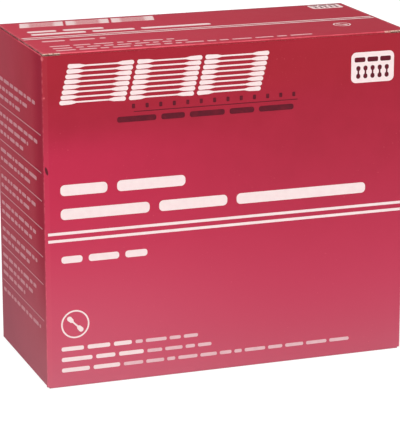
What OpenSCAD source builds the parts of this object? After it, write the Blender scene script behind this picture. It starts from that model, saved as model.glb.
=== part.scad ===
// Tuck-top paperboard box holding 1000 cotton-tipped applicators in clear bags.
// The origin is the centre of the bottom face, the front panel faces -Y and the
// lid folds at the top edge of the rear panel.

/* [Box] */
// Outside width, left to right
box_w = 216; // [206:1:240]
// Outside depth, front to back
box_d = 96; // [90:1:110]
// Outside height to the top of the closed lid
box_h = 190.5; // [188:0.5:215]
// Thickness of the paperboard
board = 0.6; // [0.5:0.05:0.8]
// Outer radius of a creased fold
fold_r = 1; // [0.9:0.1:1.4]
// Cut-away at each end of a flap's fold, clear of the corner
fold_relief = 0.6; // [0.4:0.1:1.5]

/* [Side seam] */
// Width of the glued flap inside the rear panel
glue_flap_w = 18; // [12:1:30]
// Height cut off the glue flap at its top and bottom
glue_flap_cut = 6; // [2:1:12]
// Rear panel's raw edge, short of the right side's face
seam_inset = 0.2; // [0.1:0.1:0.6]

/* [Dust flaps under the lid] */
// Length of each dust flap, inwards from its side
dust_l = 58; // [40:1:80]
// Gap between the dust flaps and the lid above them
dust_gap = 0.3; // [0.3:0.1:0.8]
// Length of the wide shoulder next to the fold
dust_shoulder = 11; // [8:1:16]
// How much narrower than the shoulder the flap is, at each side
dust_step = 5; // [2:1:10]
// Corner radius of the free end
dust_corner_r = 9; // [4:1:15]

/* [Glued bottom flaps] */
// Length of each inner flap that folds in from a side
bottom_inner_l = 62; // [40:1:80]
// Corner cut of those inner flaps
bottom_corner = 12; // [4:1:20]
// Free edge of a full-depth flap, short of the opposite face
bottom_short = 1.5; // [1:0.5:6]

/* [Lid] */
// Depth of the tuck flap below the top of the lid
tuck_l = 22; // [16:1:24]
// Corner radius of the tuck flap
tuck_corner_r = 14; // [6:1:14]
// Length of the locking slit at each end of the front fold
slit_l = 10.5; // [7:0.5:16]
// Height of the locking slit, under the lid panel
slit_h = 1.2; // [0.8:0.1:2]
// Gap between the lid panel and the front panel's cut edge
lid_gap = 0.7; // [0.5:0.1:1.2]
// Clearance between the lid's front fold and that cut edge
fold_clear = 0.1; // [0.1:0.05:0.3]
// Lid edge, in from each side of the box
lid_inset = 0.3; // [0.1:0.1:1]
// Tuck flap's clearance to the front panel as it swings past
tuck_clear = 0.2; // [0.15:0.05:0.5]
// Tuck flap's clearance to each side panel
tuck_side_clear = 0.8; // [0.5:0.1:2]
// Clearance under the rolled edge of the lid's rear fold
hinge_clear = 0.05; // [0.04:0.01:0.15]

/* [Swabs] */
// Length of one swab
swab_l = 152.4; // [140:0.1:153]
// Length of the cotton on a swab
tip_l = 18; // [12:1:26]
// Height of the rounded end of the cotton
tip_round = 1.8; // [0.8:0.1:3]
// How far the bundle of sticks lies inside the bundle of cotton tips
stick_inset = 1.3; // [0.5:0.1:2.5]
// Swabs in a full row across a bag
swab_cols = 9; // [6:1:10]
// Rows of swabs, front to back
swab_rows = 12; // [10:1:13]

/* [Bags] */
// Thickness of the bag film
film = 0.25; // [0.2:0.05:0.4]
// Gap between bags, and between a bag and the board
bag_gap = 0.4; // [0.3:0.1:1]
// Gap between the film and the swabs
swab_gap = 0.3; // [0.3:0.1:0.8]
// Radius of a bag's upright corners
bag_r = 5; // [3:0.5:6]
// Height of the gathered roof over the tips
roof_h = 9; // [6:1:12]
// Height of the sealed fin on the roof
fin_h = 8; // [4:1:9]
// Thickness of the sealed fin
fin_t = 1; // [0.8:0.1:2]
// Fin's end, in from the front and the back of the bag
fin_inset = 7; // [5:1:15]

/* [Print] */
// How far the ink stands proud of the board
ink_t = 0.05; // [0.03:0.01:0.1]
// Thickness of a bold rule
bold_rule = 1.6; // [0.8:0.1:2.4]
// Distance between the two bold rules of a pair
bold_pitch = 4.1; // [3:0.1:8]
// Bold rules' ends, in from each side of the box
bold_margin = 2; // [2:0.5:10]
// Upper bold rule on the front panel, below the top of the box
front_rule_drop = 100.3; // [95:0.5:130]
// Rear bold rule on the lid, in front of the rear panel
lid_rule_back = 50; // [30:1:60]
// Heading bars on the front, in from the left side
heading_margin = 9.4; // [5:0.1:11]
// Gap between the bars of one heading
heading_gap = 5.6; // [3:0.1:8]
// Height of a heading bar
heading_h = 6.2; // [3:0.1:9]
// Upper heading bar, below the top of the box
heading_drop = 73.6; // [60:0.1:74]
// Distance from one heading bar to the next
heading_pitch = 13.6; // [10:0.1:15]
// Width of the white badge
badge_w = 26.4; // [16:0.1:36]
// Height of the white badge
badge_h = 17.6; // [10:0.1:24]
// Corner radius of the badge
badge_r = 3; // [1:0.1:4]
// Badge, in from the right side
badge_margin = 8; // [4:0.1:20]
// Badge, below the top of the box
badge_drop = 11.2; // [6:0.1:30]
// Thickness of a thin rule on the left side
thin_rule = 0.6; // [0.3:0.1:1]
// Thin rules' ends, in from the front and rear panels
thin_margin = 4; // [2:0.5:12]
// First printed line on the left side, below the top of the box
side_lines_drop = 28.5; // [16:0.5:34]
// Thin rule, below the top of its own line
thin_rule_drop = 0.9; // [0.5:0.1:2]
// Distance from one printed line to the next
side_line_pitch = 5.3; // [3:0.1:5.6]

/* [Hidden] */
// Lengths of the bars in the upper and the lower heading
UPPER_BARS = [27, 40];
LOWER_BARS = [51.5, 40.5, 79];
// The printed lines on the left side stand in groups, with a thin rule between them
side_groups = [3, 3, 2, 2, 2, 2, 3, 1];
// The bags stand in rows of five, the first row behind the front panel
bags_across = 5;
bags_deep = 2;
bags = [1:bags_across * bags_deep];
print_red = "#b8354c";
film_white = "#e8eef2";
ink_white = "#f6e6ea";
wood_tan = "#d8a866";
cotton_white = "#f7f5f0";

// Heights of the cut and folded edges
dust_top = box_h - board - dust_gap;
front_top = box_h - board - lid_gap;
hinge_z = box_h - board / 2;
hinge_y = box_d / 2 - board / 2;
rear_top = hinge_z - board / 2 - hinge_clear;
floor_z = 3 * board;
// Lowest straight point of the front, rear and side panels: each bottom flap
// folds one board thickness above the one outside it
front_foot = fold_r;
rear_foot = board + fold_r;
side_foot = 2 * board + fold_r;
// Inside faces of the panels
in_x = box_w / 2 - board;
in_y = box_d / 2 - board;
// The tuck flap bends along a circle about the rear fold, so it slides in and
// out behind the front panel
tuck_r_out = hinge_y + in_y - tuck_clear;
tuck_r_in = tuck_r_out - board;
tuck_half_w = in_x - tuck_side_clear;
fold_half_w = box_w / 2 - slit_l;
lid_half_w = box_w / 2 - lid_inset;
// The front fold is rounded down to its foot, just above the front panel's edge
lid_fold_r = board + lid_gap - fold_clear;
fold_foot = box_h - lid_fold_r;
fold_back = -box_d / 2 + lid_fold_r;
// Front edge of a dust flap, just behind the tuck flap
dust_front = hinge_y - tuck_r_in + dust_gap;
dust_rear = in_y - board - dust_gap;
// A bag and the bundle in it
bag_w = (2 * in_x - (bags_across + 1) * bag_gap) / bags_across;
bag_d = (2 * in_y - board - (bags_deep + 1) * bag_gap) / bags_deep;
bag_top = floor_z + film + swab_l + swab_gap;
bundle_w = bag_w - 2 * film - 2 * swab_gap;
bundle_d = bag_d - 2 * film - 2 * swab_gap;
bundle_z = floor_z + film;
tips_z = bundle_z + swab_l - tip_l;
// Half steps of the honeycomb in which the swabs stand
half_col = bundle_w / (2 * swab_cols);
third_row = bundle_d / (3 * swab_rows + 1);
// Corners of one honeycomb cell and the neighbour across each edge, in half steps
CELL = [[0, 2], [-1, 1], [-1, -1], [0, -2], [1, -1], [1, 1]];
NEIGHBOUR = [[-1, 1], [-2, 0], [-1, -1], [1, -1], [2, 0], [1, 1]];
// Fineness of the arcs
bend_fn = 24;
bag_fn = 12;
tuck_fn = 360;
corner_steps = 6;
badge_steps = 3;

// Arc of points about c, from angle a0 to a1
function arc(c, r, a0, a1, n) =
    [for (i = [0:n]) c + r * [cos(a0 + (a1 - a0) * i / n), sin(a0 + (a1 - a0) * i / n)]];

// First quadrant of the bend in a fold
module bend() {
    intersection() {
        difference() {
            circle(r = fold_r, $fn = bend_fn);
            circle(r = fold_r - board, $fn = bend_fn);
        }
        square(fold_r);
    }
}

// A profile drawn in Y and Z, run along X to both sides of the centre
module along_x(half) {
    translate([-half, 0, 0]) rotate([90, 0, 90]) linear_extrude(2 * half) children();
}

// A profile drawn in X and Z, run along Y from y0 to y1
module along_y(y0, y1) {
    translate([0, y1, 0]) rotate([90, 0, 0]) linear_extrude(y1 - y0) children();
}

// A sheet lying flat with its lower face at z
module flat(z) {
    translate([0, 0, z]) linear_extrude(board) children();
}

// The four panels as one standing sheet, glued inside the rear right corner
module panels() {
    flat_x = box_w / 2 - fold_r;
    flat_y = box_d / 2 - fold_r;
    seam_y = flat_y - board;
    translate([-flat_x, -box_d / 2, front_foot])
        cube([2 * flat_x, board, front_top - front_foot]);
    translate([-flat_x, in_y, rear_foot])
        cube([flat_x + box_w / 2 - seam_inset, board, rear_top - rear_foot]);
    translate([-box_w / 2, -flat_y, side_foot])
        cube([board, 2 * flat_y, dust_top - fold_r - side_foot]);
    translate([in_x, -flat_y, side_foot])
        cube([board, flat_y + seam_y, dust_top - fold_r - side_foot]);
    for (side = [-1, 1])
        translate([side * flat_x, -flat_y, front_foot])
            linear_extrude(front_top - front_foot) mirror([side < 0 ? 1 : 0, 0]) mirror([0, 1]) bend();
    translate([-flat_x, flat_y, rear_foot])
        linear_extrude(dust_top - rear_foot) mirror([1, 0]) bend();
    translate([flat_x, seam_y, side_foot])
        linear_extrude(dust_top - fold_r - side_foot) bend();
    translate([flat_x - glue_flap_w, in_y - board, 0])
        along_y(0, board) glue_flap_outline();
}

// Seen from the front: the glue flap's free edge is cut at a slant top and bottom
module glue_flap_outline() {
    top = dust_top - fold_r;
    polygon([
        [glue_flap_w, side_foot], [glue_flap_w, top],
        [0, top - glue_flap_cut], [0, side_foot + glue_flap_cut]
    ]);
}

// Outline of the left dust flap, from its fold to its free end
module dust_outline() {
    fold_x = -box_w / 2 + fold_r;
    end_x = -box_w / 2 + dust_l;
    step_x = -box_w / 2 + dust_shoulder;
    front = dust_front + dust_step;
    rear = dust_rear - dust_step;
    polygon(concat(
        [[fold_x, dust_front], [step_x, dust_front], [step_x + dust_step, front]],
        arc([end_x - dust_corner_r, front + dust_corner_r], dust_corner_r, -90, 0, corner_steps),
        arc([end_x - dust_corner_r, rear - dust_corner_r], dust_corner_r, 0, 90, corner_steps),
        [[fold_x + dust_step, rear], [fold_x, dust_rear]]
    ));
}

module left_dust_flap() {
    fold_x = -box_w / 2 + fold_r;
    flat(dust_top - board) dust_outline();
    along_y(dust_front, dust_rear)
        translate([fold_x, dust_top - fold_r]) mirror([1, 0]) bend();
}

// Outline of the left inner bottom flap
module bottom_inner_outline() {
    fold_x = -box_w / 2 + fold_r;
    end_x = -box_w / 2 + bottom_inner_l;
    half = box_d / 2 - fold_r - fold_relief;
    polygon([
        [fold_x, -half], [end_x - bottom_corner, -half], [end_x, -half + bottom_corner],
        [end_x, half - bottom_corner], [end_x - bottom_corner, half], [fold_x, half]
    ]);
}

module left_bottom_flap() {
    fold_x = -box_w / 2 + fold_r;
    half = box_d / 2 - fold_r - fold_relief;
    flat(2 * board) bottom_inner_outline();
    along_y(-half, half)
        translate([fold_x, side_foot]) mirror([1, 0]) mirror([0, 1]) bend();
}

// The rear panel's flap under the inner flaps, and the front panel's flap outside it
module full_bottom_flaps() {
    half = box_w / 2 - fold_r - fold_relief;
    fold_y = box_d / 2 - fold_r;
    reach = fold_y + box_d / 2 - bottom_short;
    translate([-half, fold_y - reach, board]) cube([2 * half, reach, board]);
    along_x(half) translate([fold_y, rear_foot]) mirror([0, 1]) bend();
    translate([-half, -fold_y, 0]) cube([2 * half, reach, board]);
    along_x(half) translate([-fold_y, front_foot]) mirror([1, 0]) mirror([0, 1]) bend();
}

// Ink on the front panel: its left end, its top edge below the top of the box and its size
module front_ink(left, drop, w, h) {
    translate([left, -box_d / 2 - ink_t, box_h - drop - h]) cube([w, ink_t + board / 2, h]);
}

// Length of the bars before bar i, with their gaps
function bars_before(bars, i) = i == 0 ? 0 : bars_before(bars, i - 1) + bars[i - 1] + heading_gap;

module heading(bars, drop) {
    for (i = [0:len(bars) - 1])
        front_ink(-box_w / 2 + heading_margin + bars_before(bars, i), drop, bars[i], heading_h);
}

module front_print() {
    heading(UPPER_BARS, heading_drop);
    heading(LOWER_BARS, heading_drop + heading_pitch);
    for (i = [0, 1])
        front_ink(-box_w / 2 + bold_margin, front_rule_drop + i * bold_pitch,
            box_w - 2 * bold_margin, bold_rule);
    translate([box_w / 2 - badge_margin - badge_w / 2, 0, box_h - badge_drop - badge_h / 2])
        along_y(-box_d / 2 - ink_t, -box_d / 2 + board / 2) badge_outline();
}

// The badge's outline about its middle
module badge_outline() {
    x = badge_w / 2 - badge_r;
    y = badge_h / 2 - badge_r;
    polygon(concat(
        arc([x, y], badge_r, 0, 90, badge_steps), arc([-x, y], badge_r, 90, 180, badge_steps),
        arc([-x, -y], badge_r, 180, 270, badge_steps), arc([x, -y], badge_r, 270, 360, badge_steps)
    ));
}

// Printed lines and rules above the thin rule that follows group i
function lines_above(i) = i < 0 ? -1 : lines_above(i - 1) + 1 + side_groups[i];

module left_side_print() {
    for (i = [0:len(side_groups) - 2])
        translate([
            -box_w / 2 - ink_t, -box_d / 2 + thin_margin,
            box_h - side_lines_drop - side_line_pitch * lines_above(i) - thin_rule_drop - thin_rule
        ]) cube([ink_t + board / 2, box_d - 2 * thin_margin, thin_rule]);
}

module carton() {
    color(ink_white) {
        front_print();
        left_side_print();
    }
    color(print_red) {
        panels();
        left_dust_flap();
        mirror([1, 0, 0]) left_dust_flap();
        left_bottom_flap();
        mirror([1, 0, 0]) left_bottom_flap();
        full_bottom_flaps();
    }
}

// How far forward a circle about the rear fold comes at height z
function tuck_y(r, z) = hinge_y - sqrt(r * r - (hinge_z - z) * (hinge_z - z));

// The front fold: round from the top down to its foot, and solid back to the tuck flap
module front_fold() {
    along_x(fold_half_w)
        polygon(concat(
            arc([fold_back, fold_foot], lid_fold_r, 90, 180, corner_steps),
            [[tuck_y(tuck_r_in, fold_foot), fold_foot], [tuck_y(tuck_r_in, fold_foot), box_h]]
        ));
}

// Outline of the tuck flap seen from the front, with a shoulder below each slit
module tuck_outline() {
    shoulder = box_h - board - slit_h;
    low = box_h - tuck_l;
    r = tuck_corner_r;
    polygon(concat(
        [[-fold_half_w, fold_foot], [-fold_half_w, shoulder], [-tuck_half_w, shoulder]],
        arc([-tuck_half_w + r, low + r], r, 180, 270, corner_steps),
        arc([tuck_half_w - r, low + r], r, 270, 360, corner_steps),
        [[tuck_half_w, shoulder], [fold_half_w, shoulder], [fold_half_w, fold_foot]]
    ));
}

module tuck_flap() {
    intersection() {
        along_x(tuck_half_w) translate([hinge_y, hinge_z]) difference() {
            circle(r = tuck_r_out, $fn = tuck_fn);
            circle(r = tuck_r_in, $fn = tuck_fn);
        }
        along_y(-box_d / 2, 0) tuck_outline();
    }
}

module lid_print() {
    for (i = [0, 1])
        translate([-box_w / 2 + bold_margin, box_d / 2 - lid_rule_back - i * bold_pitch, box_h - board / 2])
            cube([box_w - 2 * bold_margin, bold_rule, board / 2 + ink_t]);
}

module lid() {
    color(ink_white) lid_print();
    color(print_red) {
        translate([-lid_half_w, fold_back, box_h - board])
            cube([2 * lid_half_w, hinge_y - fold_back, board]);
        for (side = [-1, 1])
            translate([side < 0 ? -lid_half_w : fold_half_w, -box_d / 2, box_h - board])
                cube([lid_half_w - fold_half_w, lid_fold_r, board]);
        front_fold();
        tuck_flap();
        along_x(lid_half_w) translate([hinge_y, hinge_z]) circle(r = board / 2, $fn = bend_fn);
    }
}

// Puts its children at the middle of bag i, counted from the front left; the
// glue flap takes one board thickness behind the rear row
module at_bag(i) {
    col = (i - 1) % bags_across;
    row = floor((i - 1) / bags_across);
    translate([
        (col - (bags_across - 1) / 2) * (bag_w + bag_gap),
        (row - (bags_deep - 1) / 2) * (bag_d + bag_gap) - board / 2,
        0
    ]) children();
}

module rounded_column(w, d, r, z0, z1) {
    for (x = [-1, 1], y = [-1, 1])
        translate([x * (w / 2 - r), y * (d / 2 - r), z0]) cylinder(r = r, h = z1 - z0, $fn = bag_fn);
}

// Filled shape of a bag, drawn in by inset all round
module bag_form(inset) {
    ridge_t = fin_t - inset;
    hull() {
        rounded_column(bag_w - 2 * inset, bag_d - 2 * inset, bag_r - inset, floor_z + inset, bag_top);
        translate([-ridge_t / 2, -bag_d / 2 + fin_inset + inset, bag_top])
            cube([ridge_t, bag_d - 2 * fin_inset - 2 * inset, roof_h - inset]);
    }
}

module bag(i) {
    color(film_white) at_bag(i) {
        difference() {
            bag_form(0);
            bag_form(film);
        }
        translate([-fin_t / 2, -bag_d / 2 + fin_inset, bag_top + roof_h - film])
            cube([fin_t, bag_d - 2 * fin_inset, fin_h + film]);
    }
}

// How far a row of swabs reaches to each side, in half columns: every second row
// has one swab less, and the front row leaves out its two corners
function row_reach(row) = swab_cols - 1 - row % 2 - (row == 0 ? 2 : 0);
function has_swab(col, row) =
    row >= 0 && row < swab_rows && abs(col) <= row_reach(row);
function grid_point(p, z) = [p[0] * half_col, (p[1] - (3 * swab_rows - 3) / 2) * third_row, z];

// The swabs' cells as [column, row], and the edges of the cells on the outside
CELLS = [for (row = [0:swab_rows - 1]) for (col = [-row_reach(row):2:row_reach(row)]) [col, row]];
function corner(cell, i) = [cell[0] + CELL[i % len(CELL)][0], 3 * cell[1] + CELL[i % len(CELL)][1]];
OUTER_EDGES = [for (c = CELLS) for (i = [0:len(CELL) - 1])
    if (!has_swab(c[0] + NEIGHBOUR[i][0], c[1] + NEIGHBOUR[i][1])) [corner(c, i), corner(c, i + 1)]];
// The outside corners in order, each found from the one before it
function walk(at, left) = left == 0 ? [] :
    concat([at], walk([for (e = OUTER_EDGES) if (e[0] == at) e[1]][0], left - 1));
OUTLINE = walk(OUTER_EDGES[0][0], len(OUTER_EDGES));

// The cotton ends: one honeycomb cell a swab, each with a raised middle
module tip_block() {
    ring_z = tips_z + tip_l - tip_round;
    top_z = tips_z + tip_l;
    ring = len(CELL);
    per_cell = ring + 1;
    top_count = per_cell * len(CELLS);
    rim = len(OUTLINE);
    points = concat(
        [for (c = CELLS) each concat(
            [for (i = [0:ring - 1]) grid_point(corner(c, i), ring_z)],
            [grid_point([c[0], 3 * c[1]], top_z)])],
        [for (p = OUTLINE) grid_point(p, ring_z)],
        [for (p = OUTLINE) grid_point(p, tips_z)]
    );
    faces = concat(
        [for (n = [0:len(CELLS) - 1]) for (i = [0:ring - 1])
            [per_cell * n + ring, per_cell * n + (i + 1) % ring, per_cell * n + i]],
        [for (k = [0:rim - 1]) [top_count + k, top_count + (k + 1) % rim,
            top_count + rim + (k + 1) % rim, top_count + rim + k]],
        [[for (k = [0:rim - 1]) top_count + rim + k]]
    );
    polyhedron(points = points, faces = faces, convexity = 10);
}

module tips(i) {
    color(cotton_white) at_bag(i) tip_block();
}

// The sticks under the cotton, closer together than the cotton ends, with the
// corners left out as in the rows above
module sticks(i) {
    w = bundle_w / 2 - stick_inset;
    d = bundle_d / 2 - stick_inset;
    cut = 2 * half_col;
    color(wood_tan) at_bag(i) translate([0, 0, bundle_z])
        linear_extrude(swab_l - tip_l)
            polygon([
                [-w, cut - d], [cut - w, -d], [w - cut, -d], [w, cut - d],
                [w, d - cut], [w - cut, d], [cut - w, d], [-w, d - cut]
            ]);
}

carton();
lid();
for (i = bags) {
    bag(i);
    sticks(i);
    tips(i);
}
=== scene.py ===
"""A closed paperboard box of cotton swabs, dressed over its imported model."""

import math
import random

import bpy
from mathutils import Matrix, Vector, noise


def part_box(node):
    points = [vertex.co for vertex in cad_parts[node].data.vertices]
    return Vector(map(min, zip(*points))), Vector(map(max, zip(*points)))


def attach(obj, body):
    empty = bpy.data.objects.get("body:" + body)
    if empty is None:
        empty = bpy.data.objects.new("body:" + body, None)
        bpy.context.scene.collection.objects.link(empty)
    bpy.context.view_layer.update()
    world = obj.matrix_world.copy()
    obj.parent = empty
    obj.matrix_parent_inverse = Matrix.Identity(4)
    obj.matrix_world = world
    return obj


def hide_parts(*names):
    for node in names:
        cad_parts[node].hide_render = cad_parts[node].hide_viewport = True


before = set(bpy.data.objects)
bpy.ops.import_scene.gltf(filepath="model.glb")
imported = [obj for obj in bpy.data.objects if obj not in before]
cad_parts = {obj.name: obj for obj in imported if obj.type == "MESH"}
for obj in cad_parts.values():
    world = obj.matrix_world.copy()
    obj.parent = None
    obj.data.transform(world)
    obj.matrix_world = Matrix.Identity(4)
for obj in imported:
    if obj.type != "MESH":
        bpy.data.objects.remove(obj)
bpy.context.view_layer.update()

# Sizes in metres
MM = 0.001
BOARD = 0.6 * MM
SIDE_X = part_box("carton")[1].x
SIDE_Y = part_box("carton")[1].y

# The solids' own print is raised by INK_RAISE. The ink stands over it by its coat
# and reaches a little way down into the board
INK_RAISE = 0.05 * MM
INK_COAT = 0.03 * MM
INK_SINK = 0.02 * MM

# Heights of the lid's top, the front panel's cut edge, the dust flaps and the
# box's middle
LID_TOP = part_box("lid")[1].z - INK_RAISE
FRONT_EDGE_Z = LID_TOP - 1.3 * MM
DUST_Z = LID_TOP - 0.9 * MM
MIDDLE_Z = LID_TOP / 2

# Where the lid's front fold ends and a locking slit begins, on both sides
FOLD_END_X = SIDE_X - 10.5 * MM

# A face counts as the top, the front or the left where this much of its normal
# points that way
FACING = 0.6

# The camera stands to the front left of the box and looks down on it. Its place
# is in metres, its turn and dip in degrees, its lens and sensor in millimetres
CAMERA_AT = (-0.4265, -1.1870, 0.4193)
CAMERA_TURN = -19.76
CAMERA_DIP = 15.15
CAMERA_LENS = 185.1
SENSOR = 36

# Each lamp's name, place and size in metres, and power in watts
LAMPS = (
    ("key_lamp", (-0.6, -1.05, 1.7), 1.1, 22.0),
    ("fill_lamp", (1.4, -1.3, 0.4), 1.2, 8.0),
    ("left_lamp", (-1.6, -0.5, 0.5), 1.0, 1.8),
    ("top_lamp", (0.0, 0.5, 1.6), 0.8, 7.0),
    ("rear_lamp", (0.5, 1.5, 0.03), 0.24, 5.0),
)
LAMP_AIM = Vector((0.0, 0.0, 0.09))

# The floor's half width, how far it lies under the box, and its own white
FLOOR_REACH = 6.0
FLOOR_DROP = 0.2 * MM
FLOOR_WHITE = (0.85, 0.85, 0.86, 1.0)
FLOOR_GLOW = 1.17
FLOOR_GLOW_SHARE = 0.8

# The room's light on the box, and what is added where the camera sees the room
ROOM_LIGHT = 0.4
ROOM_SEEN = 0.6

# How strongly the varnish shines, beside a plain gloss at 0.5
VARNISH = 0.15

# Contents: the swabs stand in a honeycomb in each bag
BAGS = range(1, 11)
SWAB_COLS = 9
SWAB_ROWS = 12
STICK_THICKNESS = 2.15 * MM
COTTON_THICKNESS = 4.2 * MM
STICK_IN_COTTON = 2 * MM
COTTON_DROP = 0.9 * MM

# A bag's gathered roof, the sealed fin on it, its corners and its film
ROOF = 9 * MM
FIN = 8 * MM
FIN_INSET = 7 * MM
FIN_HALF = 0.2 * MM
BAG_CORNER = 5 * MM
FILM = 0.05 * MM
BAG_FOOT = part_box("bag_1")[0].z
BAG_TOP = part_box("bag_1")[1].z - FIN - ROOF

# How many steps a bag's film has round a corner, along a side, and up its side
# or roof
CORNER_STEPS = 4
SIDE_STEPS = 16
BAG_STEPS = 8

# How far a bag's film creases at its sides, and is pleated and dips on its roof,
# how far its fin leans, ripples and sags, and how many pleats go round the roof
CREASE_LEAST = 0.3 * MM
CREASE_MORE = 0.8 * MM
TIP_CREASE = 0.35 * MM
PLEAT = 0.7 * MM
ROOF_DIP = 2.2 * MM
FIN_LEAN = 3.2 * MM
FIN_RIPPLE = 0.35 * MM
FIN_SAG = 1.2 * MM
PLEATS_ROUND = 13


class Value:
    """A socket of a node tree. Arithmetic on it adds Math nodes to the tree."""

    def __init__(self, tree, socket=None):
        self.tree = tree
        self.socket = socket

    def node(self, kind, settings=None, sockets=None, output=0):
        """Adds a node with its settings, then its sockets' values or links."""
        made = self.tree.nodes.new(kind)
        for name, setting in (settings or {}).items():
            setattr(made, name, setting)
        for key, value in (sockets or {}).items():
            if isinstance(value, Value):
                self.tree.links.new(value.socket, made.inputs[key])
            else:
                made.inputs[key].default_value = value
        return Value(self.tree, made.outputs[output])

    def maths(self, operation, *values):
        return self.node("ShaderNodeMath", {"operation": operation}, dict(enumerate(values)))

    def __add__(self, other):
        return self.maths("ADD", self, other)

    def __radd__(self, other):
        return self.maths("ADD", other, self)

    def __sub__(self, other):
        return self.maths("SUBTRACT", self, other)

    def __rsub__(self, other):
        return self.maths("SUBTRACT", other, self)

    def __mul__(self, other):
        return self.maths("MULTIPLY", self, other)

    def __rmul__(self, other):
        return self.maths("MULTIPLY", other, self)

    def __truediv__(self, other):
        return self.maths("DIVIDE", self, other)

    def __neg__(self):
        return self.maths("MULTIPLY", self, -1.0)

    def __gt__(self, edge):
        return self.maths("GREATER_THAN", self, edge)

    def __lt__(self, edge):
        return self.maths("LESS_THAN", self, edge)

    def __abs__(self):
        return self.maths("ABSOLUTE", self)

    def most(self, other):
        return self.maths("MAXIMUM", self, other)

    def least(self, other):
        return self.maths("MINIMUM", self, other)

    def exponent(self):
        return self.maths("EXPONENT", self)

    def sine(self):
        return self.maths("SINE", self)

    def root(self):
        return self.maths("SQRT", self)

    def ramp(self, low, high):
        """0 below low and 1 above high, eased between them."""
        return self.node(
            "ShaderNodeMapRange",
            {"interpolation_type": "SMOOTHSTEP"},
            {"Value": self, "From Min": low, "From Max": high},
        )

    def scaled(self, size):
        """A vector times a scale for each axis."""
        return self.node("ShaderNodeVectorMath", {"operation": "MULTIPLY"}, {0: self, 1: size})

    def axes(self):
        """The three parts of a vector."""
        return [self.node("ShaderNodeSeparateXYZ", None, {0: self}, part) for part in range(3)]

    def noise(self, scale, detail=2.0, roughness=0.5):
        """Noise on a place in metres. Scale is in bumps a metre."""
        return self.node(
            "ShaderNodeTexNoise",
            None,
            {"Vector": self, "Scale": scale, "Detail": detail, "Roughness": roughness},
        )

    def tint(self, low_colour, high_colour):
        """A colour between two, at this value."""
        return self.node(
            "ShaderNodeMix", {"data_type": "RGBA"}, {0: self, 6: low_colour, 7: high_colour}, 2
        )


def paint(red, green, blue):
    """A colour given as seen, from 0 to 255, as the renderer's light values."""
    def light(part):
        share = part / 255
        return share / 12.92 if share <= 0.04045 else ((share + 0.055) / 1.055) ** 2.4
    return (light(red), light(green), light(blue), 1.0)


# The ink on the board, as it looks under plain light, with painted light and
# shade laid over it: painted shade at the front's top, on the left panel and
# over the lid's right, painted light low and to the left on the front, and the
# pink of a painted reflection
CRIMSON = paint(173, 35, 58)
DEEP_CRIMSON = paint(165, 32, 53)
TOP_SHADED_CRIMSON = paint(166, 34, 46)
FOOT_LIT_CRIMSON = paint(196, 50, 82)
LEFT_LIT_CRIMSON = paint(208, 44, 83)
SHADE_CRIMSON = paint(132, 22, 50)
LID_LEFT_RED = paint(186, 35, 61)
LID_RIGHT_SHADED_RED = paint(166, 10, 43)
REFLECTION_PINK = (0.72, 0.45, 0.52, 1.0)

# Print over it
INK_WHITE = paint(250, 230, 228)
INK_PALE = paint(236, 196, 200)
INK_SIDE = paint(196, 132, 140)
INK_DARK = paint(92, 20, 36)
LID_WHITE = paint(232, 208, 206)
LID_PALE = paint(222, 168, 171)

# Worn ink, whose pink also makes a faint painted highlight; the lid's worn front
# fold with a painted highlight; a dark nick and painted shade; and the board
# where it is bare or cut, with painted shade on the lid's cut ends
WORN_AND_HIGHLIGHT_CRIMSON = paint(232, 120, 128)
# Worn ink along the lid's front fold, with a painted highlight
FOLD_WEAR_AND_HIGHLIGHT = paint(244, 112, 126)
# A dark nick, and painted shade along the lid's ends and rear fold
NICK_AND_SHADE_DARK = paint(76, 26, 34)
BARE_BOARD = paint(178, 158, 134)
BARE_FLECK = paint(132, 116, 98)
CUT_BOARD = paint(232, 196, 180)
CUT_SHADE = paint(176, 128, 112)
# Pale bits and painted shade on the lid's cut ends
END_PALE = paint(206, 140, 138)
END_PAINTED_SHADE = paint(112, 58, 62)

# Contents
COTTON = paint(247, 245, 240)
COTTON_SHADE = paint(228, 224, 216)
BIRCH = paint(222, 184, 128)
BIRCH_DARK = paint(196, 150, 92)
FILM_TINT = (0.88, 0.91, 0.93, 1.0)

# Heights between which the painted light and shade on the panels change. The
# last of them also sets where the left panel turns rougher
TOP_SHADE_RISE = (150 * MM, 175 * MM)
LIT_FOOT_RISE = (30 * MM, 165 * MM)
LEFT_LIGHT_RISE = (130 * MM, 154 * MM)
LEFT_REFLECTION_RISE = (30 * MM, 110 * MM)
LEFT_PANEL_RISE = (10 * MM, 100 * MM)

# How strong the pale painted reflection is at the foot, on the front's left and
# on the left panel, and the height in which the first of them fades
FOOT_REFLECTION = 0.19
FOOT_REFLECTION_FADE = 34 * MM
LEFT_REFLECTION = 0.07
SIDE_REFLECTION = 0.05


def new_material(name):
    """A material, its Principled shader and a start for its node expressions."""
    material = bpy.data.materials.new(name)
    material.use_nodes = True
    shader = material.node_tree.nodes["Principled BSDF"]
    return material, shader, Value(material.node_tree)


def feed(shader, name, value):
    """Links a value to a shader's socket, or sets it there."""
    if isinstance(value, Value):
        value.tree.links.new(value.socket, shader.inputs[name])
    else:
        shader.inputs[name].default_value = value


def bump(height, distance):
    """A normal turned by a relief. Distance is the relief's depth in metres."""
    return height.node(
        "ShaderNodeBump", None, {"Height": height, "Distance": distance, "Strength": 1.0}
    )


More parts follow.
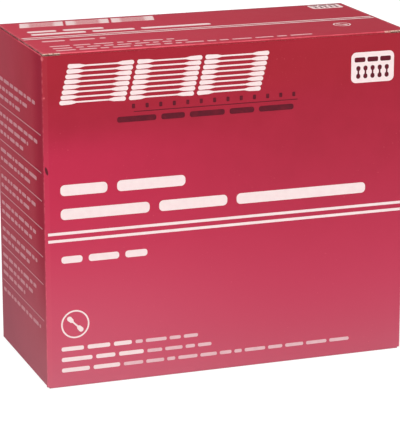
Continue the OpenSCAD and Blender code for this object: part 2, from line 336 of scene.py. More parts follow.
class Surface:
    """Where a point of the board lies and which way it faces, as shader values.
    Bend is 0 on a flat face and grows over a fold's rounding."""

    def __init__(self, start):
        self.place = start.node("ShaderNodeTexCoord", output="Object")
        self.x, self.y, self.z = self.place.axes()
        self.nx, self.ny, self.nz = start.node("ShaderNodeTexCoord", output="Normal").axes()
        self.outward = self.nx * self.x + self.ny * self.y + self.nz * (self.z - MIDDLE_Z)
        self.bend = 1.0 - abs(self.nx).most(abs(self.ny)).most(abs(self.nz))
        self.on_top = self.nz > FACING
        self.in_front = self.ny < -FACING
        self.on_left = self.nx < -FACING

        # On the left panel: near the front fold, towards the rear, and high up
        self.by_fold = 1.0 - self.y.ramp(-SIDE_Y, -SIDE_Y + 24 * MM)
        self.rearward = self.y.ramp(-SIDE_Y + 10 * MM, SIDE_Y)
        self.high_up = self.z.ramp(*LEFT_PANEL_RISE)


def ink_and_lid_shade(at, mottle):
    """Ink, a little uneven, with a painted shade that deepens from left to right
    over the lid.
    """
    ink = mottle.ramp(0.2, 0.8).tint(CRIMSON, DEEP_CRIMSON)
    # Painted shade, deeper towards the lid's right
    lid_shaded_red = at.x.ramp(-SIDE_X, SIDE_X).tint(LID_LEFT_RED, LID_RIGHT_SHADED_RED)
    return (at.on_top * 0.85).tint(ink, lid_shaded_red)


def front_painted_light(at, ink):
    """Painted light and shade on the front: a painted shade at its top and painted
    light low and to the left. A pale painted reflection lies at the foot of every
    panel, and more of it on the front's left."""
    # Painted shade at the front's top, painted light low down and to the left
    ink = (at.in_front * at.z.ramp(*TOP_SHADE_RISE) * 0.6).tint(ink, TOP_SHADED_CRIMSON)
    ink = (at.in_front * (1.0 - at.z.ramp(*LIT_FOOT_RISE))).tint(ink, FOOT_LIT_CRIMSON)
    leftward = at.in_front * (1.0 - at.x.ramp(-SIDE_X, 0.55 * SIDE_X))
    ink = (leftward * (1.0 - at.z.ramp(*LEFT_LIGHT_RISE)) * 0.5).tint(ink, LEFT_LIT_CRIMSON)
    # A pale painted reflection at the foot of every panel, more on the front's left
    reflection = (at.z * (-1 / FOOT_REFLECTION_FADE)).exponent() * FOOT_REFLECTION
    reflection = reflection + leftward * (1.0 - at.z.ramp(*LEFT_REFLECTION_RISE)) * LEFT_REFLECTION
    return reflection.tint(ink, REFLECTION_PINK)


def left_painted_light(at, ink):
    """Painted shade and reflection on the left panel: a painted shade beside the
    front fold and a pale painted reflection towards the rear, and the other way
    round near its foot, where all of it has more of the painted reflection."""
    low_down = 1.0 - at.high_up
    # Painted shade beside the front fold high up, and towards the rear low down
    ink = (at.on_left * at.by_fold * at.high_up * 0.45).tint(ink, SHADE_CRIMSON)
    ink = (at.on_left * (at.rearward * 0.4 + 0.12) * low_down).tint(ink, SHADE_CRIMSON)
    # A pale painted reflection towards the rear, and all along the foot
    pale = at.rearward * at.high_up * 1.2 + low_down * 2.2
    return (at.on_left * pale * SIDE_REFLECTION).tint(ink, REFLECTION_PINK)


def worn_folds(at):
    """How much ink the folds and corners have lost."""
    rub = at.place.noise(420.0, 3.0, 0.65).ramp(0.38, 0.68)
    return at.bend.ramp(0.004, 0.16) * rub * 0.3


def worn_ink_and_painted_light(at, ink, worn, find_scuffs_and_painted_light):
    """Ink with its worn folds, specks and scuffs, a faint painted highlight beside
    the front's left fold, a dark nick, painted shade along the lid's ends and rear
    fold, and a coral line along the lid's front fold, worn ink with a painted
    highlight, that is uneven and stronger to the left."""
    specks = at.place.noise(900.0, 2.0).ramp(0.70, 0.74) * at.place.noise(30.0).ramp(0.45, 0.7)
    ink = (worn + specks * 0.35).least(1.0).tint(ink, WORN_AND_HIGHLIGHT_CRIMSON)
    scuffed_and_highlit, darkened = find_scuffs_and_painted_light(at)
    # Worn places and scuffs, and a faint painted highlight beside the front's left fold
    ink = scuffed_and_highlit.least(1.0).tint(ink, WORN_AND_HIGHLIGHT_CRIMSON)
    # A dark nick on the front, and painted shade along the lid's ends and rear fold
    ink = darkened.tint(ink, NICK_AND_SHADE_DARK)
    # Worn ink and a painted highlight along the lid's front fold, stronger to the left
    top_fold_wear_and_highlight = (at.z > LID_TOP - 1.25 * MM) * (at.y < 0.0) * at.bend.ramp(0.08, 0.24)
    uneven = at.place.scaled((90.0, 1.0, 1.0)).noise(1.0, 2.0, 0.6).ramp(0.36, 0.62)
    strength = 0.34 + uneven * 0.36 + (1.0 - at.x.ramp(-SIDE_X, 0.2 * SIDE_X)) * 0.3
    return (top_fold_wear_and_highlight * strength).tint(ink, FOLD_WEAR_AND_HIGHLIGHT)


def bare_board(at, fibres):
    """Grey-brown board with fibres and flecks."""
    flecks = at.place.noise(1500.0, 2.0).ramp(0.62, 0.7)
    return (fibres * 0.5 + flecks * 0.6).least(1.0).tint(BARE_BOARD, BARE_FLECK)


def cut_board(at, painted_cut_shade):
    """The frayed tan core at a cut edge, under a mottled painted shade where one is
    given.
    """
    frayed = at.place.noise(1100.0, 2.0, 0.7).ramp(0.42, 0.6)
    # Mottled painted shade on the lid's cut ends
    shade_mottle = at.place.noise(260.0, 3.0, 0.6).ramp(0.36, 0.58)
    return painted_cut_shade.tint(frayed.tint(CUT_BOARD, CUT_SHADE), shade_mottle.tint(END_PALE, END_PAINTED_SHADE))


def board_material(name, find_cut_edges, find_scuffs_and_painted_light):
    """Crimson print outside, bare grey board inside, tan on the cut edges."""
    material, shader, start = new_material(name)
    at = Surface(start)
    printed_side = at.outward > 0.0
    cut, painted_cut_shade = find_cut_edges(at)
    mottle = at.place.noise(60.0, 4.0, 0.6)
    fibres = at.place.scaled((900.0, 260.0, 900.0)).noise(1.0, 3.0)
    worn = worn_folds(at)

    ink = left_painted_light(at, front_painted_light(at, ink_and_lid_shade(at, mottle)))
    ink = worn_ink_and_painted_light(at, ink, worn, find_scuffs_and_painted_light)
    colour = printed_side.tint(bare_board(at, fibres), ink)
    feed(shader, "Base Color", cut.tint(colour, cut_board(at, painted_cut_shade)))

    varnished = printed_side * (1.0 - cut)
    dull = at.by_fold * 0.4 * at.high_up + 0.22
    satin = 0.44 + mottle * 0.08 + worn * 0.25 + at.on_left * dull
    matt = 0.85
    feed(shader, "Roughness", satin * varnished + matt * (1.0 - varnished))
    relief = at.place.noise(700.0, 3.0) * 0.6 + fibres * (1.0 - varnished)
    relief = relief + at.place.noise(45.0) * 6.0
    feed(shader, "Normal", bump(relief, 0.03 * MM))
    feed(shader, "Specular IOR Level", VARNISH)
    return material


def carton_cut_edges(at):
    """Cut edges of the panels' tops, the dust flaps, the bottom flaps and the seam.
    The seam also takes half of the mottled darker tone that the lid's cut ends carry."""
    beside_flaps = (at.y < -SIDE_Y + 1.65 * MM).most(at.y > SIDE_Y - 1.45 * MM)
    panel_tops = (at.nz > 0.5) * (at.z > FRONT_EDGE_Z - 2 * MM) * beside_flaps
    upright = abs(at.nz) < 0.5
    inside = (abs(at.x) < SIDE_X - 1.05 * MM) * (abs(at.y) < SIDE_Y - 1.1 * MM)
    flap_levels = (at.z > DUST_Z - 1.1 * BOARD).most(at.z < 3 * BOARD)
    seam = (at.nx > 0.5) * (at.y > SIDE_Y - BOARD - 0.05 * MM) * (at.x > SIDE_X - 0.5 * MM)
    return panel_tops.most(upright * inside * flap_levels).most(seam), seam * 0.5


def lid_cut_edges(at):
    """Cut edges of the lid's ends, its locking slits and the tuck flap, and the
    front fold's right end, which is worn down to the board. The ends' cut edges
    also take a mottled painted shade, where the lid meets the side panels."""
    in_top = at.z > LID_TOP - 1.1 * BOARD
    ends = abs(at.nx) > 0.5
    slits = (at.ny < -0.5) * (abs(at.x) > FOLD_END_X) * in_top
    tuck_rim = (at.z < FRONT_EDGE_Z) * (abs(at.ny) < 0.6)
    on_fold = (at.y < -SIDE_Y + 0.9 * MM) * (at.z > LID_TOP - 0.9 * MM)
    fold_end = (at.x > FOLD_END_X - 3.5 * MM) * on_fold
    return ends.most(slits).most(tuck_rim).most(fold_end * 0.7), ends * in_top


def near(x, z, at_x, at_z, half_w, half_h):
    """1 within an upright ellipse on the front panel, fading over its rim. Its
    middle, half width and half height are in millimetres."""
    across = (x - at_x * MM) / (half_w * MM)
    up = (z - at_z * MM) / (half_h * MM)
    return 1.0 - (across * across + up * up).ramp(0.5, 1.3)


def carton_scuffs_and_highlight(at):
    """Rubbed places on the front panel's left edge, a faint painted highlight beside
    its left fold, and one dark nick there.
    """
    in_front = at.y < -SIDE_Y + 1.2 * MM
    rough = at.place.noise(800.0, 2.0).ramp(0.4, 0.55)
    corner = near(at.x, at.z, -107.5, 187.8, 0.7, 1.1)
    spot = near(at.x, at.z, -106.9, 166.2, 0.5, 0.6)
    # A faint painted highlight beside the front's left fold
    left_fold_highlight = (at.x < -SIDE_X + 3.2 * MM) * 0.05
    nick = near(at.x, at.z + (at.x + 106 * MM) * 1.4, -106.2, 125.2, 1.0, 2.0)
    rubbed_and_highlit = corner.most(spot) * (0.35 + rough * 0.3) + left_fold_highlight
    return in_front * rubbed_and_highlit, in_front * nick * 0.9


def lid_scuffs_and_shade(at):
    """The lid's print is worn along both ends of its front edge, and carries a
    painted shade along its ends and its rear fold."""
    rough = at.place.noise(600.0, 3.0, 0.6).ramp(0.45, 0.6)
    outwards = abs(at.x)
    along_front = 1.0 - at.y.ramp(-SIDE_Y, -SIDE_Y + 5 * MM)
    corner = outwards.ramp(SIDE_X - 14 * MM, SIDE_X - 2 * MM) * along_front
    edge = outwards.ramp(SIDE_X - 2.4 * MM, SIDE_X - 1.4 * MM) * 0.5
    # Painted shade along the lid's ends and its rear fold
    rim = outwards.ramp(SIDE_X - 1.3 * MM, SIDE_X - 0.6 * MM) * 0.42
    rear = at.y.ramp(SIDE_Y - 3 * MM, SIDE_Y - 1 * MM) * 0.38
    outside = at.z > LID_TOP - 1.3 * MM
    return corner * rough * 0.5 + edge * rough, outside * rim.most(rear)


def ink_material(name, colour, shade):
    """Opaque ink with faint mottling, under the same satin varnish as the board."""
    material, shader, start = new_material(name)
    place = start.node("ShaderNodeTexCoord", output="Object")
    mottle = place.noise(300.0, 3.0, 0.6)
    feed(shader, "Base Color", (mottle.ramp(0.35, 0.8) * 0.2).tint(colour, shade))
    feed(shader, "Roughness", 0.44 + mottle * 0.08)
    feed(shader, "Normal", bump(place.noise(700.0, 3.0), 0.02 * MM))
    feed(shader, "Specular IOR Level", VARNISH)
    return material


def film_material():
    """Clear film with fine creases, and pressed ribs across the sealed fin."""
    material, shader, start = new_material("bag_film")
    place = start.node("ShaderNodeTexCoord", output="Object")
    z = place.axes()[2]
    rib_pitch = 1.2 * MM
    on_fin = z > BAG_TOP + ROOF + 1.5 * MM
    ribs = (z * (2 * math.pi / rib_pitch)).sine() * on_fin
    creases = place.noise(160.0, 3.0, 0.6) * 3.0 + ribs * 0.5
    feed(shader, "Base Color", FILM_TINT)
    feed(shader, "Alpha", 0.12)
    feed(shader, "Roughness", 0.16)
    feed(shader, "Normal", bump(creases, 0.15 * MM))
    return material


def cotton_material():
    """Wound cotton: fine fibres that turn round the end, with soft hollows."""
    material, shader, start = new_material("wound_cotton")
    place = start.node("ShaderNodeTexCoord", output="Object")
    fibres = place.scaled((500.0, 500.0, 2200.0)).noise(1.0, 3.0, 0.6)
    lumps = place.noise(450.0, 2.0)
    tone = (fibres * 0.6 + lumps * 0.4).ramp(0.35, 0.62)
    feed(shader, "Base Color", tone.tint(COTTON_SHADE, COTTON))
    feed(shader, "Roughness", 0.95)
    feed(shader, "Sheen Weight", 0.25)
    feed(shader, "Normal", bump(fibres + lumps * 2.0, 0.12 * MM))
    return material


def birch_material():
    """Plain birch with the grain along the stick."""
    material, shader, start = new_material("birch_stick")
    place = start.node("ShaderNodeTexCoord", output="Object")
    grain = place.scaled((1400.0, 1400.0, 30.0)).noise(1.0, 3.0, 0.6)
    streaks = place.scaled((300.0, 300.0, 4.0)).noise(1.0)
    tone = (grain * 0.5 + streaks * 0.5).ramp(0.34, 0.64)
    feed(shader, "Base Color", tone.tint(BIRCH, BIRCH_DARK))
    feed(shader, "Roughness", 0.7)
    feed(shader, "Normal", bump(grain, 0.06 * MM))
    return material


def new_piece(name, vertices, faces, material, smooth=False):
    """A mesh object at the origin, in the scene."""
    data = bpy.data.meshes.new(name)
    data.from_pydata(vertices, [], faces)
    data.materials.append(material)
    data.polygons.foreach_set("use_smooth", [smooth] * len(faces))
    data.update()
    piece = bpy.data.objects.new(name, data)
    bpy.context.scene.collection.objects.link(piece)
    return piece


# Outlines are lists of flat points in millimetres, counter-clockwise
def arc(x, y, radius, start, end, steps):
    return [
        (x + radius * math.cos(turn), y + radius * math.sin(turn))
        for turn in (math.radians(start + (end - start) * i / steps) for i in range(steps + 1))
    ]


def rounded_bar(x0, x1, y0, y1, radius, steps=3):
    radius = min(radius, (x1 - x0) / 2, (y1 - y0) / 2)
    left, right, low, high = x0 + radius, x1 - radius, y0 + radius, y1 - radius
    return (
        arc(right, high, radius, 0, 90, steps) + arc(left, high, radius, 90, 180, steps)
        + arc(left, low, radius, 180, 270, steps) + arc(right, low, radius, 270, 360, steps)
    )


def bar(x0, x1, y0, y1):
    return [(x0, y0), (x1, y0), (x1, y1), (x0, y1)]


def lying_swab(x0, x1, y, stick, head, head_length):
    """A swab drawn on its side, with a rounded head at both ends."""
    steps = 6
    cap = head / 2
    neck = x1 - head_length
    upper = arc(x1 - cap, y, cap, 0, 90, steps)
    upper += [(neck + 0.35 * (x1 - cap - neck), y + 0.86 * cap), (neck, y + stick / 2)]
    upper += [(x0 + x1 - px, py) for px, py in reversed(upper)]
    lower = [(px, 2 * y - py) for px, py in reversed(upper)]
    return upper + lower[1:-1]


def swab_rows(x0, x1, y0, y1, rows):
    """Rows of lying swabs, three in a row, each row set to the right of the one
    under it."""
    across, lean = 3, 0.25
    head_share = 0.88
    pitch = (y1 - y0) / (rows - 1 + head_share)
    head = pitch * head_share
    gap = head * 0.7
    length = (x1 - x0 - lean * (y1 - y0) - gap * (across - 1)) / across
    shapes = []
    for row in range(rows):
        y = y0 + head / 2 + row * pitch
        for i in range(across):
            left = x0 + lean * (y - y0) + i * (length + gap)
            shapes.append(lying_swab(left, left + length, y, head * 0.34, head, length * 0.26))
    return shapes


def word_bars(x0, x1, y0, y1, dice, longest=14.0):
    """Bars of uneven length with gaps between them, like words set in a row."""
    height = y1 - y0
    gap = height * 0.9
    shapes = []
    at = x0
    while x1 - at > height:
        length = min(dice.uniform(0.3, 1.0) * longest, x1 - at)
        if x1 - at - length < gap + height:
            length = x1 - at
        shapes.append(rounded_bar(at, at + length, y0, y1, height * 0.4))
        at += length + gap
    return shapes


def ring_parts(x, y, radius, width, steps=48):
    """A ring as one outline with its hole."""
    return arc(x, y, radius, 0, 360 - 360 / steps, steps - 1), arc(
        x, y, radius - width, 0, 360 - 360 / steps, steps - 1
    )


def turned(outline, x, y, degrees):
    """An outline turned about a point."""
    across, up = math.cos(math.radians(degrees)), math.sin(math.radians(degrees))
    return [
        (x + (px - x) * across - (py - y) * up, y + (px - x) * up + (py - y) * across)
        for px, py in outline
    ]


def printed(name, shapes, rings, place, material, body):
    """Thin ink shapes on a panel, as closed prisms. Place turns millimetres on
    the panel, and a height over it, into the frame."""
    vertices = []
    faces = []
    raise_to = INK_RAISE + INK_COAT
    for outline in shapes:
        first = len(vertices)
        count = len(outline)
        vertices += [place(u * MM, v * MM, raise_to) for u, v in outline]
        vertices += [place(u * MM, v * MM, -INK_SINK) for u, v in outline]
        faces.append([first + i for i in range(count)])
        faces.append([first + count + i for i in reversed(range(count))])
        faces += wall(first, first + count, count)
    for outer, inner in rings:
        first = len(vertices)
        count = len(outer)
        for outline in (outer, inner):
            for level in (raise_to, -INK_SINK):
                vertices += [place(u * MM, v * MM, level) for u, v in outline]
        top, foot, in_top, in_foot = (first + count * k for k in range(4))
        faces += wall(in_top, top, count)
        faces += wall(top, foot, count)
        faces += wall(foot, in_foot, count)
        faces += wall(in_foot, in_top, count)
    piece = new_piece(name, vertices, faces, material)
    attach(piece, body)
    return piece


def wall(top, foot, count):
    """Faces between two loops of points, each given by its first point."""
    return [
        [top + (i + 1) % count, top + i, foot + i, foot + (i + 1) % count] for i in range(count)
    ]


def on_front(u, v, height):
    return (u, -SIDE_Y - height, v)


def on_left(u, v, height):
    return (-SIDE_X - height, -u, v)


def on_lid(u, v, height):
    return (u, v, LID_TOP + height)


# The print's places are in millimetres: from a panel's middle across it, and up
# from the ground on the front and the left panel or from the middle on the lid
PRINT_LEFT = -98.6
RULE_REACH = 106.0
RULE_HEIGHT = 1.6
RING_SWAB_TURN = -45


def headings(rows, top, pitch, height, radius, steps):
    """Rows of thick bars, each given by its start and its length."""
    bars = []
    for row, words in enumerate(rows):
        high = top - pitch * row
        for start, length in words:
            bars.append(rounded_bar(start, start + length, high - height, high, radius, steps))
    return bars


def front_print(white, pale, dark):
    dice = random.Random(3)
    ring_x, ring_z = -91.2, 36.5
    badge_x, badge_z, badge_w, badge_h = 73.6, 161.7, 26.4, 17.6
    bold = swab_rows(PRINT_LEFT, 24.0, 161.6, 184.0, 8)
    bold += [bar(-RULE_REACH, RULE_REACH, low, low + RULE_HEIGHT) for low in (88.6, 84.5)]
    words = (
        ((PRINT_LEFT, 27.0), (-66.0, 40.0)),
        ((PRINT_LEFT, 51.5), (-41.5, 40.5), (4.6, 79.0)),
    )
    bold += headings(words, 116.9, 13.6, 6.2, 2.4, 5)
    bold.append(rounded_bar(badge_x, badge_x + badge_w, badge_z, badge_z + badge_h, 3.0, 6))
    swab = lying_swab(ring_x - 6.1, ring_x + 6.1, ring_z, 0.9, 2.8, 4.4)
    bold.append(turned(swab, ring_x, ring_z, RING_SWAB_TURN))
    bold += word_bars(PRINT_LEFT, -48.6, 72.2, 76.2, dice, 26.0)

    # Three lines at the foot, bold at first and then light
    small = []
    line_start = -99.4
    lines = ((-56.0, -18.6, 21.2), (-49.0, -10.4, 15.0), (-63.0, 75.0, 8.8))
    for light_from, end, low in lines:
        bold += word_bars(line_start, light_from - 2.2, low, low + 2.4, dice, 18.0)
        small += word_bars(light_from, end, low + 0.1, low + 2.1, dice)
    ring = ring_parts(ring_x, ring_z, 8.2, 0.9)
    printed("front_print_white", bold, [ring], on_front, white, "carton")
    printed("front_print_small", small, [], on_front, pale, "carton")

    # A row of small marks, a thin line and a row of bars, all dark
    in_row, pitch = 13, 7.9
    marks = []
    for i in range(in_row):
        x = -57.0 + pitch * i
        marks.append(rounded_bar(x, x + 1.8, 156.9, 159.5, 0.5))
    marks.append(bar(-56.0, 41.0, 154.9, 155.3))
    marks += word_bars(-65.6, 38.6, 149.5, 152.7, dice, 24.0)
    printed("front_print_dark", marks, [], on_front, dark, "carton")
    badge_print("badge_marks", badge_x, badge_z, 1.0, on_front, dark, "carton")


def badge_print(name, left, low, size, panel, dark, body):
    """Plain bars over small swabs on a white badge. Size is 1 on the front."""
    bars, bar_pitch = 3, 7.9
    swabs, swab_pitch = 5, 4.4
    bar_low = low + 11.9 * size
    marks = []
    for i in range(bars):
        x = left + (2.0 + bar_pitch * i) * size
        marks.append(rounded_bar(x, x + 6.6 * size, bar_low, bar_low + 2.8 * size, 0.8 * size))
    y = low + 6.1 * size
    reach = 3.7 * size
    for i in range(swabs):
        x = left + swab_pitch * (i + 1) * size
        swab = lying_swab(x - reach, x + reach, y, 1.0 * size, 2.6 * size, 2.9 * size)
        marks.append(turned(swab, x, y, 90))

    def on_badge(u, v, height):
        return panel(u, v, height + INK_COAT)

    printed(name, marks, [], on_badge, dark, body)


def side_print(pale):
    """Groups of small rows on the left panel, with a thin rule between groups."""
    dice = random.Random(11)
    groups = (3, 3, 2, 2, 2, 2, 3, 1)
    line = 162.0
    pitch = 5.3
    start, width = -42.6, 86.0
    rule_reach = 44.0
    shapes = []
    for number, rows in enumerate(groups):
        for row in range(rows):
            share = 0.93 - 0.16 * row - 0.10 * dice.random()
            end = start + width * share
            shapes += word_bars(start, end, line - 2.4, line - 0.3, dice, 12.0)
            line -= pitch
        if number < len(groups) - 1:
            shapes.append(bar(-rule_reach, rule_reach, line - 1.5, line - 0.9))
            line -= pitch
    printed("side_print", shapes, [], on_left, pale, "carton")


def lid_print(white, pale, dark):
    dice = random.Random(5)
    ring_x, ring_y = 79.6, -19.9
    badge_x, badge_y, badge_w, badge_h = 84.0, 33.0, 20.0, 12.0
    line_start = -98.0
    bold = swab_rows(PRINT_LEFT, -14.0, 30.5, 43.5, 6)
    bold += [bar(-RULE_REACH, RULE_REACH, low, low + RULE_HEIGHT) for low in (-2.0, -6.1)]
    words = (
        ((line_start, 17.0), (-77.0, 24.0)),
        ((line_start, 32.0), (-62.0, 25.0), (-33.0, 42.0)),
    )
    bold += headings(words, 18.2, 8.4, 4.4, 1.6, 4)
    bold.append(rounded_bar(badge_x, badge_x + badge_w, badge_y, badge_y + badge_h, 2.4, 5))
    swab = lying_swab(ring_x - 3.7, ring_x + 3.7, ring_y, 0.7, 2.0, 2.7)
    bold.append(turned(swab, ring_x, ring_y, RING_SWAB_TURN))
    ring = ring_parts(ring_x, ring_y, 5.2, 0.7)
    printed("lid_print_white", bold, [ring], on_lid, white, "lid")

    small = word_bars(line_start, -61.0, -15.6, -12.6, dice, 18.0)
    for end, high in ((-26.0, -28.4), (-20.0, -34.6), (52.0, -40.8)):
        small += word_bars(line_start, end, high - 2.2, high, dice, 12.0)
    printed("lid_print_small", small, [], on_lid, pale, "lid")
    badge_print("lid_badge_marks", badge_x, badge_y, 0.75, on_lid, dark, "lid")


def new_tree(name, inputs):
    """A Geometry Nodes tree and its named inputs, as values."""
    tree = bpy.data.node_groups.new(name, "GeometryNodeTree")
    tree.interface.new_socket("Geometry", in_out="INPUT", socket_type="NodeSocketGeometry")
    for label, kind in inputs.items():
        tree.interface.new_socket(label, in_out="INPUT", socket_type="NodeSocket" + kind)
    tree.interface.new_socket("Geometry", in_out="OUTPUT", socket_type="NodeSocketGeometry")
    entry = tree.nodes.new("NodeGroupInput")
    return tree, {socket.name: Value(tree, socket) for socket in entry.outputs}


def stick_profile(along):
    """The height and width of a straight stick, as shares, at a share of its length."""
    return along, 1.0


def cotton_profile(along):
    """Cotton that swells from the stick and closes in a round end, whose last
    ring keeps some width."""
    neck_width, swollen_at = 0.58, 0.5
    dome_from, dome = 0.8, 0.202
    height = (along * (math.pi / 2)).sine()
    swell = height.ramp(0.0, swollen_at) * (1.0 - neck_width) + neck_width
    end = (height - dome_from).most(0.0) / dome
    return height, swell * (1.0 - end * end).root()


def swab_tree(name, profile, material):
    """A tree that stands one round part of a swab on each point, with a turn
    and a drop of its own."""
    tree, given = new_tree(name, {
        "Length": "Float", "Thickness": "Float", "Deepest drop": "Float",
        "Sides": "Int", "Rings": "Int", "Seed": "Int",
    })
    start = Value(tree)
    line = start.node(
        "GeometryNodeCurvePrimitiveLine",
        {"mode": "DIRECTION"},
        {"Direction": (0, 0, 1), "Length": given["Length"]},
    )
    line = start.node("GeometryNodeResampleCurve", None, {"Curve": line, "Count": given["Rings"]})
    height, width = profile(start.node("GeometryNodeSplineParameter"))
    rise = start.node("ShaderNodeCombineXYZ", None, {"Z": height * given["Length"]})
    line = start.node("GeometryNodeSetPosition", None, {"Geometry": line, "Position": rise})
    outline = start.node(
        "GeometryNodeCurvePrimitiveCircle",
        None,
        {"Resolution": given["Sides"], "Radius": given["Thickness"] * 0.5},
    )
    part = start.node(
        "GeometryNodeCurveToMesh",
        None,
        {"Curve": line, "Profile Curve": outline, "Scale": width, "Fill Caps": True},
    )

    def chance(highest, seed):
        return start.node("FunctionNodeRandomValue", None, {2: 0.0, 3: highest, "Seed": seed}, 1)

    turn = start.node("ShaderNodeCombineXYZ", None, {"Z": chance(2 * math.pi, given["Seed"])})
    drop = chance(given["Deepest drop"], given["Seed"] + 1)
    sink = start.node("ShaderNodeCombineXYZ", None, {"Z": -drop})
    feet = start.node(
        "GeometryNodeSetPosition", None, {"Geometry": given["Geometry"], "Offset": sink}
    )
    turn = start.node("FunctionNodeEulerToRotation", None, {0: turn})
    many = start.node(
        "GeometryNodeInstanceOnPoints", None, {"Points": feet, "Instance": part, "Rotation": turn}
    )
    whole = start.node("GeometryNodeRealizeInstances", None, {"Geometry": many})
    whole = start.node("GeometryNodeSetMaterial", None, {"Geometry": whole, "Material": material})
    tree.links.new(whole.socket, tree.nodes.new("NodeGroupOutput").inputs[0])
    return tree


def grown(name, points, tree, sizes, material):
    """Runs a tree on points and keeps what it makes as a plain mesh."""
    piece = new_piece(name, points, [], material)
    modifier = piece.modifiers.new(name, "NODES")
    modifier.node_group = tree
    for item in tree.interface.items_tree:
        if item.name in sizes:
            modifier[item.identifier] = sizes[item.name]
    view = bpy.context.evaluated_depsgraph_get()
    mesh = bpy.data.meshes.new_from_object(piece.evaluated_get(view))
    piece.modifiers.remove(modifier)
    piece.data = mesh
    return piece


def swab_feet(level):
    """Where the swabs stand in the bags: a honeycomb without its front corners."""
    low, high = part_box("tips_1")
    half_col = (high.x - low.x) / (2 * SWAB_COLS)
    row_step = 3 * (high.y - low.y) / (3 * SWAB_ROWS + 1)
    feet = []
    for bag in BAGS:
        low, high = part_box(f"tips_{bag}")
        middle = (low + high) / 2
        for row in range(SWAB_ROWS):
            reach = SWAB_COLS - 1 - row % 2 - (2 if row == 0 else 0)
            y = middle.y + (row - (SWAB_ROWS - 1) / 2) * row_step
            feet += [(middle.x + col * half_col, y, level) for col in range(-reach, reach + 1, 2)]
    return feet


def stand_swabs():
    birch = birch_material()
    low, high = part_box("sticks_1")
    sizes = {
        "Length": high.z - low.z + STICK_IN_COTTON, "Thickness": STICK_THICKNESS,
        "Deepest drop": 0.0, "Sides": 8, "Rings": 2, "Seed": 5,
    }
    tree = swab_tree("stick", stick_profile, birch)
    sticks = grown("birch_sticks", swab_feet(low.z), tree, sizes, birch)
    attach(sticks, "carton")
    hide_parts(*(f"sticks_{bag}" for bag in BAGS))

    cotton = cotton_material()
    low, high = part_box("tips_1")
    sizes = {
        "Length": high.z - low.z, "Thickness": COTTON_THICKNESS,
        "Deepest drop": COTTON_DROP, "Sides": 8, "Rings": 9, "Seed": 5,
    }
    tree = swab_tree("cotton_tip", cotton_profile, cotton)
    tips = grown("cotton_tips", swab_feet(low.z), tree, sizes, cotton)
    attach(tips, "carton")
    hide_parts(*(f"tips_{bag}" for bag in BAGS))


def bag_section(half_w, half_d, radius):
    """A rounded rectangle about its middle, with as many points at every size."""
    outline = rounded_bar(-half_w, half_w, -half_d, half_d, radius, CORNER_STEPS)
    points = []
    for first in range(0, len(outline), CORNER_STEPS + 1):
        points += outline[first:first + CORNER_STEPS + 1]
        (x0, y0), (x1, y1) = points[-1], outline[(first + CORNER_STEPS + 1) % len(outline)]
        steps = [i / SIDE_STEPS for i in range(1, SIDE_STEPS)]
        points += [(x0 + (x1 - x0) * share, y0 + (y1 - y0) * share) for share in steps]
    return points


def bag_sections(width, depth):
    """The bag from its floor to the top of its fin: height, section, how far its
    sides crease in, how far its roof does, and the share of the fin's lean."""
    half_w, half_d = width / 2, depth / 2
    tips_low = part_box("tips_1")[0].z
    floor = bag_section(half_w - 3 * MM, half_d - 3 * MM, 2 * MM)
    heel = bag_section(half_w - 0.8 * MM, half_d - 0.8 * MM, BAG_CORNER)
    whole = bag_section(half_w, half_d, BAG_CORNER)
    seal = bag_section(FIN_HALF, half_d - FIN_INSET, FIN_HALF)
    rows = [(BAG_FOOT, floor, 0.0, 0.0, 0.0), (BAG_FOOT, heel, 0.0, 0.0, 0.0)]
    for step in range(BAG_STEPS + 1):
        share = step / BAG_STEPS
        height = BAG_FOOT + 1 * MM + (tips_low - BAG_FOOT - 3 * MM) * share
        creases = CREASE_LEAST + CREASE_MORE * math.sin(math.pi * share)
        rows.append((height, whole, creases, 0.0, 0.0))
    for share in (0.3, 0.65, 1.0):
        rows.append((tips_low + (BAG_TOP - tips_low) * share, whole, TIP_CREASE, 0.0, 0.0))
    for step in range(1, BAG_STEPS + 1):
        share = step / BAG_STEPS
        section = bag_section(
            half_w + (FIN_HALF - half_w) * share,
            half_d - FIN_INSET * share,
            BAG_CORNER * (1 - share) + FIN_HALF * share,
        )
        creases = CREASE_LEAST * (1 - share)
        rows.append((BAG_TOP + ROOF * share, section, creases, math.sin(math.pi * share), 0.0))
    for share in (0.2, 0.4, 0.6, 0.8, 1.0):
        rows.append((BAG_TOP + ROOF + FIN * share, seal, 0.0, 0.0, share))
    return rows


def bag_point(x, y, inward_x, inward_y, height, row, bag):
    """A point of a bag's film, creased inwards, pleated on the roof and leant on the fin."""
    creases, pleats, lean = row
    side = noise.noise(Vector((x / (5 * MM), y / (5 * MM), height / (40 * MM) + 9.0 * bag)))
    inward = creases * (0.5 + 0.5 * side)
    uneven = noise.noise(Vector((x / (9 * MM), y / (9 * MM), 7.0 * bag)))
    along = math.atan2(y, x) * PLEATS_ROUND + 2.5 * uneven
    inward += pleats * PLEAT * (0.5 + 0.5 * math.cos(along))
    inward += pleats * ROOF_DIP * inward_y * inward_y
    flop = noise.noise(Vector((y / (14 * MM), 3.0 * bag, 0.0)))
    ripple = math.sin(y / (2.6 * MM) + bag)
    shift = lean * (FIN_LEAN * flop + FIN_RIPPLE * ripple)
    sag = lean * lean * FIN_SAG * abs(flop)
    return x + inward_x * inward + shift, y + inward_y * inward, height - sag


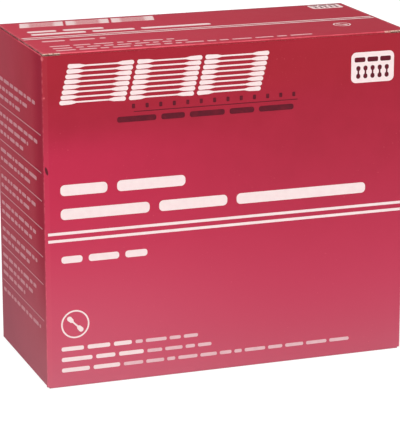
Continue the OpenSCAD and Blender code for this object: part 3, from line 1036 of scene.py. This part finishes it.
def bag_films():
    """Ten clear bags as one piece, each lofted from its floor to its sealed fin."""
    film = film_material()
    vertices = []
    faces = []
    for bag in BAGS:
        low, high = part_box(f"bag_{bag}")
        middle = (low + high) / 2
        rows = bag_sections(high.x - low.x, high.y - low.y)
        base = len(vertices)
        count = len(rows[0][1])
        for height, section, *row in rows:
            for i, (x, y) in enumerate(section):
                before, after = section[i - 1], section[(i + 1) % count]
                run = Vector((after[0] - before[0], after[1] - before[1])).normalized()
                point = bag_point(x, y, -run.y, run.x, height, row, bag)
                vertices.append((point[0] + middle.x, point[1] + middle.y, point[2]))
        faces.append([base + i for i in reversed(range(count))])
        for level in range(len(rows) - 1):
            faces += wall(base + (level + 1) * count, base + level * count, count)
        faces.append([base + (len(rows) - 1) * count + i for i in range(count)])
    piece = new_piece("bag_films", vertices, faces, film, smooth=True)
    skin = piece.modifiers.new("film", "SOLIDIFY")
    skin.thickness = FILM
    skin.offset = -1.0
    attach(piece, "carton")
    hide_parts(*(f"bag_{bag}" for bag in BAGS))


def stand_camera():
    data = bpy.data.cameras.new("camera")
    data.lens = CAMERA_LENS
    data.sensor_width = SENSOR
    camera = bpy.data.objects.new("camera", data)
    camera.location = CAMERA_AT
    camera.rotation_euler = (math.radians(90 - CAMERA_DIP), 0.0, math.radians(CAMERA_TURN))
    bpy.context.scene.collection.objects.link(camera)
    bpy.context.scene.camera = camera


def lay_floor():
    """A plain white floor that shows white and keeps the box's shadow."""
    material, shader, start = new_material("floor")
    feed(shader, "Base Color", FLOOR_WHITE)
    feed(shader, "Roughness", 0.9)
    sight = start.node("ShaderNodeLightPath", output="Is Camera Ray")
    white = (1, 1, 1, 1)
    glow = start.node("ShaderNodeEmission", None, {"Color": white, "Strength": FLOOR_GLOW})
    plain = Value(start.tree, shader.outputs[0])
    surface = start.node(
        "ShaderNodeMixShader", None, {0: sight * FLOOR_GLOW_SHARE, 1: plain, 2: glow}
    )
    output = start.tree.nodes["Material Output"]
    start.tree.links.new(surface.socket, output.inputs["Surface"])
    reach = FLOOR_REACH
    corners = [(x, y, -FLOOR_DROP) for x, y in bar(-reach, reach, -reach, reach)]
    floor = new_piece("floor", corners, [(0, 1, 2, 3)], material)


def light_room():
    scene = bpy.context.scene
    scene.view_settings.view_transform = "Standard"
    world = bpy.data.worlds.new("room")
    world.use_nodes = True
    scene.world = world
    start = Value(world.node_tree)
    seen = start.node("ShaderNodeLightPath", output="Is Camera Ray")
    background = world.node_tree.nodes["Background"]
    background.inputs["Color"].default_value = (1, 1, 1, 1)
    feed(background, "Strength", seen * ROOM_SEEN + ROOM_LIGHT)


def add_lamp(name, place, size, power):
    data = bpy.data.lights.new(name, "AREA")
    data.size = size
    data.energy = power
    lamp = bpy.data.objects.new(name, data)
    lamp.location = place
    lamp.rotation_euler = (LAMP_AIM - Vector(place)).to_track_quat("-Z", "Y").to_euler()
    bpy.context.scene.collection.objects.link(lamp)


def main():
    stand_camera()
    lay_floor()
    light_room()
    for name, place, size, power in LAMPS:
        add_lamp(name, place, size, power)

    carton_board = board_material("printed_carton_board", carton_cut_edges, carton_scuffs_and_highlight)
    lid_board = board_material("printed_lid_board", lid_cut_edges, lid_scuffs_and_shade)
    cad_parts["carton"].material_slots[0].material = carton_board
    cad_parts["lid"].material_slots[0].material = lid_board
    white = ink_material("white_ink", INK_WHITE, INK_PALE)
    pale = ink_material("pale_ink", INK_PALE, INK_SIDE)
    lid_white = ink_material("lid_white_ink", LID_WHITE, INK_PALE)
    lid_pale = ink_material("lid_pale_ink", LID_PALE, INK_SIDE)
    side = ink_material("side_ink", INK_SIDE, WORN_AND_HIGHLIGHT_CRIMSON)
    dark = ink_material("dark_ink", INK_DARK, DEEP_CRIMSON)
    front_print(white, pale, dark)
    side_print(side)
    lid_print(lid_white, lid_pale, dark)
    stand_swabs()
    bag_films()


main()
